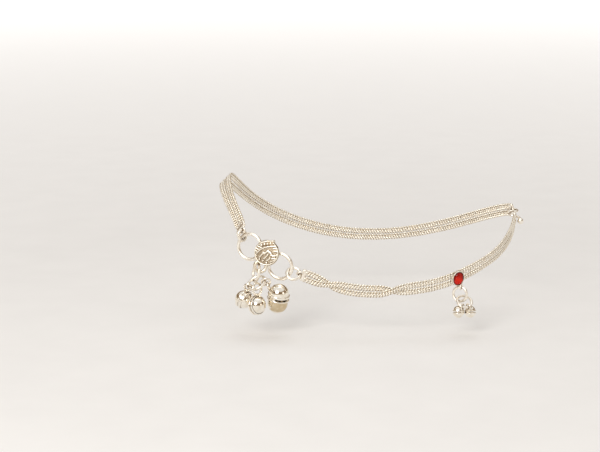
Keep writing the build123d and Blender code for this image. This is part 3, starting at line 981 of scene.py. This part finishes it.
BELL_WALL = 0.45
BELL_RIM = 0.62
BELL_MOUTH = 0.6
BELL_LOOP_WIRE = 0.75
bell_rows = [
    # node, middle of the mouth, dome axis, towards the loop, diameter, heights of the two
    # halves, heights of their rims, loop middle, loop normal, loop radius, foot of the painted dark
    # reflection
    ("bell_left", (-0.04179, -0.03113, -0.00931), (-0.75, 0.42, 0.5), (1.42, -0.95, 4.21), 6.4,
     (2.92, 2.92), (0.8, 0.6), (-0.04037, -0.03208, -0.0051), (0.1, 0.94, 0.33), 1.2, 0),
    ("bell_middle", (-0.03747, -0.03539, -0.0102), (0.68, -0.7, 0.2), (0, 0.1, 1), 6.3,
     (2.95, 2.87), (0.6, 0.6), (-0.03746, -0.03483, -0.00501), (0.73, -0.67, 0.16), 1.9, 0),
    ("bell_right", (-0.03059, -0.03284, -0.0081), (0.15, -0.17, 0.977), (-1, 0, 0), 7.3,
     (4.39, 5.49), (0.9, 0.55), (-0.03379, -0.03248, -0.00462), (0.95, -0.04, 0.31), 1.3, 4.5),
]
for (node, middle, axis, towards, diameter, heights, rims, loop_middle, loop_normal,
     loop_radius, foot) in bell_rows:
    make_bell(node, facing(middle, axis, towards), diameter, heights, BELL_WALL, BELL_RIM,
              BELL_MOUTH, rims, facing(loop_middle, loop_normal), loop_radius, BELL_LOOP_WIRE, foot)

SMALL_BELL_AXIS = (0, 0.18, 1)
SMALL_BELL_DIAMETER = 3.9
SMALL_BELL_HEIGHTS = (1.97, 1.97)
SMALL_BELL_WALL = 0.45
SMALL_BELL_RIM = 0.4
SMALL_BELL_MOUTH = 0.35
SMALL_BELL_RIMS = (0.4, 0.35)
SMALL_LOOP_RADIUS = 0.95      # the loops of the station's bells and of its setting
SMALL_LOOP_WIRE = 0.5
small_bell_rows = [
    # node, middle of the mouth, towards the loop, loop middle, loop normal
    ("station_bell_left", (0.02774, -0.03306, -0.01301), (1, 0, 0),
     (0.02891, -0.03413, -0.01112), (0.88, -0.47, -0.07)),
    ("station_bell_right", (0.03168, -0.03216, -0.01321), (-1, 0, 0),
     (0.03081, -0.03366, -0.0112), (0.83, 0.55, 0.08)),
]
for node, middle, towards, loop_middle, loop_normal in small_bell_rows:
    make_bell(node, facing(middle, SMALL_BELL_AXIS, towards), SMALL_BELL_DIAMETER,
              SMALL_BELL_HEIGHTS, SMALL_BELL_WALL, SMALL_BELL_RIM, SMALL_BELL_MOUTH,
              SMALL_BELL_RIMS, facing(loop_middle, loop_normal), SMALL_LOOP_RADIUS,
              SMALL_LOOP_WIRE, 0)

# -------- red stone and its setting
STATION_ROW = 14
SETTING_WIDTH = 4.1
SETTING_HEIGHT = 5.0
SETTING_DEPTH = 1.3
SETTING_WALL = 0.3
SETTING_FLOOR = 0.35
SEAT_GAP = 0.44 + 0.12        # from the band's middle to the setting's back
SETTING_SHIFT = 0.55          # back along the band from its row
station_ahead, _, station_face = row_axes(near_rows, STATION_ROW)
seat_offset = station_face * SEAT_GAP - station_ahead * SETTING_SHIFT
setting_seat = row_middle(near_rows[STATION_ROW]) + seat_offset * MM
setting_lean = Vector((0.29, 0, 0.957))
setting_plane = facing(setting_seat, station_face, setting_lean.cross(station_face))
OVAL_STEPS = 96


def oval(half_width, half_height, level, steps=OVAL_STEPS, start=0.0):
    """Points of a level oval, in metres from millimetres. Start is in steps."""
    points = []
    for k in range(steps):
        turn = FULL_TURN * (k + start) / steps
        x, y = half_width * math.cos(turn), half_height * math.sin(turn)
        points.append(Vector((x, y, level)) * MM)
    return points


def make_setting():
    """Bezel cup: a thin wall rolled in over the stone, on a small foot, with its drop loop."""
    levels = [
        # inset from the cup's outside, level, both in mm
        (0.45, 0.0), (0.12, 0.0), (0.02, 0.08), (0.0, 0.25), (0.06, 0.40), (0.04, 0.55),
        (0.0, 0.80), (0.0, 1.12), (0.04, 1.24), (0.12, 1.30), (0.22, 1.28), (0.29, 1.20),
        (0.30, 1.05), (0.30, 0.45), (0.45, SETTING_FLOOR),
    ]
    points = []
    for inset, level in levels:
        points += oval(SETTING_WIDTH / 2 - inset, SETTING_HEIGHT / 2 - inset, level)
    faces = grid_faces(len(levels), OVAL_STEPS)
    faces.append(list(range(OVAL_STEPS)))
    faces.append([(len(levels) - 1) * OVAL_STEPS + k for k in range(OVAL_STEPS)])
    shape = Shape().add(points, faces, setting_plane)
    loop_plane = facing((0.02865, -0.03084, -0.00515), (0.95, -0.32, -0.06))
    shape.add(*wire_ring(SMALL_LOOP_RADIUS * MM, SMALL_LOOP_WIRE * MM, 270), loop_plane)
    make_piece("stone_setting_bezel", shape, wire_silver, ["stone_setting"],
               sharp=50)


FACETS = 12
STONE_PLAY = 0.05             # between the stone and the bezel's wall
# Painted light and shade: the darkest and lightest crest value of the stone's corners, row by row
# from table to point.
STONE_PAINTED_LIGHT = ((0.45, 1.0), (0.15, 1.0), (0.0, 0.1), (0.0, 0.0), (0.0, 0.0), (0.0, 0.0))
STONE_LEVEL = 0.85            # share of it at the stone's middle height
STONE_LOWER_LIGHT = 0.45           # painted light: more than that in the lower half, less in the upper


def make_stone():
    """Oval cut: table, star and kite facets on the crown, a thin girdle and a shallow back."""
    half_width = SETTING_WIDTH / 2 - SETTING_WALL - STONE_PLAY
    half_height = SETTING_HEIGHT / 2 - SETTING_WALL - STONE_PLAY
    girdle = SETTING_DEPTH - 0.1
    rows = [
        # share of the girdle's size, level, turn in facets
        (0.55, SETTING_DEPTH + 0.55, 0.0),
        (0.80, SETTING_DEPTH + 0.34, 0.5),
        (1.00, girdle, 0.0),
        (1.00, girdle - 0.1, 0.0),
        (0.62, SETTING_FLOOR + 0.22, 0.5),
        (0.20, SETTING_FLOOR + 0.06, 0.0),
    ]
    points = []
    for share, level, start in rows:
        points += oval(half_width * share, half_height * share, level, FACETS, start)
    table, star, upper, lower, back, point = (row * FACETS for row in range(len(rows)))
    faces = [list(range(FACETS)), [point + k for k in range(FACETS)]]
    for k in range(FACETS):
        m = (k + 1) % FACETS
        faces.append([table + k, table + m, star + k])
        faces.append([star + k, table + m, star + m, upper + m])
        faces.append([star + k, upper + m, upper + k])
        faces.append([upper + k, upper + m, lower + m, lower + k])
        faces.append([lower + k, lower + m, back + k])
        faces.append([back + k, lower + m, back + m])
        faces.append([back + k, back + m, point + m])
        faces.append([back + k, point + m, point + k])
    shape = Shape().add(points, faces, setting_plane)
    stone = make_piece("stone_cut", shape, red_glass, ["stone"])
    stone.data.polygons.foreach_set("use_smooth", [False] * len(stone.data.polygons))
    # painted light and shade: random lighter crown corners, darker lower rows, and the lower half
    # lighter than the upper
    crest = []
    for low, high in STONE_PAINTED_LIGHT:
        for k in range(FACETS):
            gathered = STONE_LEVEL - STONE_LOWER_LIGHT * math.sin(FULL_TURN * k / FACETS)
            crest.append(dice.uniform(low, high) * gathered)
    set_crest(stone, crest)


make_setting()
make_stone()

# -------- stage, lamps and camera
FLOOR_HEIGHT = -0.021
FLOOR_REACH = 6
CAMERA_PLACE = (-0.0236, -0.5820, 0.1321)
CAMERA_TILT = 78              # degrees up from straight down
CAMERA_LENS = 105


def path_is(tree, *kinds):
    """1 for rays of these kinds."""
    path = tree.nodes.new("ShaderNodeLightPath")
    total = None
    for kind in kinds:
        if total is None:
            total = path.outputs[kind]
            continue
        larger = tree.nodes.new("ShaderNodeMath")
        larger.operation = "MAXIMUM"
        tree.links.new(total, larger.inputs[0])
        tree.links.new(path.outputs[kind], larger.inputs[1])
        total = larger.outputs[0]
    return total


def make_floor():
    """Pale floor: it stays white far away, and keeps the anklet's soft shadow close by."""
    mesh = bpy.data.meshes.new("floor")
    corners = [(-1, -1), (1, -1), (1, 1), (-1, 1)]
    points = [(x * FLOOR_REACH, y * FLOOR_REACH, FLOOR_HEIGHT) for x, y in corners]
    mesh.from_pydata(points, [], [[0, 1, 2, 3]])
    floor = bpy.data.objects.new("floor", mesh)
    bpy.context.scene.collection.objects.link(floor)
    material, tree, shader, place = new_material("floor_paint")
    grain = ramp(tree, noise(tree, place, 60, 4), [
        (0.3, (0.80, 0.795, 0.79)),
        (0.7, (0.82, 0.815, 0.81)),
    ])
    tree.links.new(grain, shader.inputs["Base Color"])
    shader.inputs["Roughness"].default_value = 0.9
    shader.inputs["Specular IOR Level"].default_value = 0.1
    far = tree.nodes.new("ShaderNodeVectorMath")
    far.operation = "LENGTH"
    tree.links.new(place, far.inputs[0])
    lift = tree.nodes.new("ShaderNodeMapRange")
    lifts = (("From Min", 0.15), ("From Max", 1.2), ("To Min", 0.05), ("To Max", 0.6))
    for name, value in lifts:
        lift.inputs[name].default_value = value
    tree.links.new(far.outputs["Value"], lift.inputs["Value"])
    seen = tree.nodes.new("ShaderNodeMath")
    seen.operation = "MULTIPLY"
    tree.links.new(lift.outputs["Result"], seen.inputs[0])
    looking = path_is(tree, "Is Camera Ray", "Is Glossy Ray", "Is Transmission Ray")
    tree.links.new(looking, seen.inputs[1])
    shader.inputs["Emission Color"].default_value = (1, 1, 1, 1)
    tree.links.new(seen.outputs[0], shader.inputs["Emission Strength"])
    mesh.materials.append(material)


def make_world():
    """A pale room: a soft beige backdrop round the table, under a white ceiling."""
    world = bpy.data.worlds.new("studio")
    bpy.context.scene.world = world
    world.use_nodes = True
    tree = world.node_tree
    room = tree.nodes["Background"]
    place = tree.nodes.new("ShaderNodeTexCoord")
    height = tree.nodes.new("ShaderNodeSeparateXYZ")
    tree.links.new(place.outputs["Generated"], height.inputs[0])
    level = tree.nodes.new("ShaderNodeMapRange")
    level.inputs["From Min"].default_value = -1
    tree.links.new(height.outputs["Z"], level.inputs["Value"])
    colour = ramp(tree, level.outputs["Result"], [
        (0.0, (0.62, 0.56, 0.48)),
        (0.50, (0.76, 0.70, 0.60)),
        (0.58, (0.76, 0.70, 0.60)),
        (0.62, (0.24, 0.155, 0.085)),
        (0.76, (0.30, 0.20, 0.12)),
        (0.84, (0.94, 0.92, 0.88)),
        (1.0, WHITE),
    ])
    tree.links.new(colour, room.inputs["Color"])
    room.inputs["Strength"].default_value = 0.85


lamps = [
    # name, place, aim, width in metres, watts, colour
    ("key", (-0.30, -0.62, 0.42), (-0.01, -0.02, 0.0), 0.46, 2.9, (1.0, 0.98, 0.94)),
    ("fill", (0.55, -0.45, 0.22), (0.0, -0.01, 0.0), 0.30, 0.25, (1.0, 0.97, 0.93)),
    ("top", (0.05, 0.20, 0.65), (0.0, 0.0, 0.0), 0.50, 0.6, (1.0, 1.0, 1.0)),
]


def make_lamps():
    for name, place, aim, width, watts, colour in lamps:
        light = bpy.data.lights.new(name, "AREA")
        light.shape = "DISK"
        light.size = width
        light.energy = watts
        light.color = colour
        lamp = bpy.data.objects.new(name, light)
        lamp.location = place
        way = Vector(aim) - Vector(place)
        lamp.rotation_euler = way.to_track_quat("-Z", "Y").to_euler()
        bpy.context.scene.collection.objects.link(lamp)


def make_camera():
    data = bpy.data.cameras.new("camera")
    data.lens = CAMERA_LENS
    data.sensor_width = 36
    data.clip_start = 0.01
    data.clip_end = 50
    camera = bpy.data.objects.new("camera", data)
    camera.location = CAMERA_PLACE
    camera.rotation_euler = (math.radians(CAMERA_TILT), 0, 0)
    bpy.context.scene.collection.objects.link(camera)
    bpy.context.scene.camera = camera


make_floor()
make_world()
make_lamps()
make_camera()
bpy.context.scene.view_settings.view_transform = "Standard"
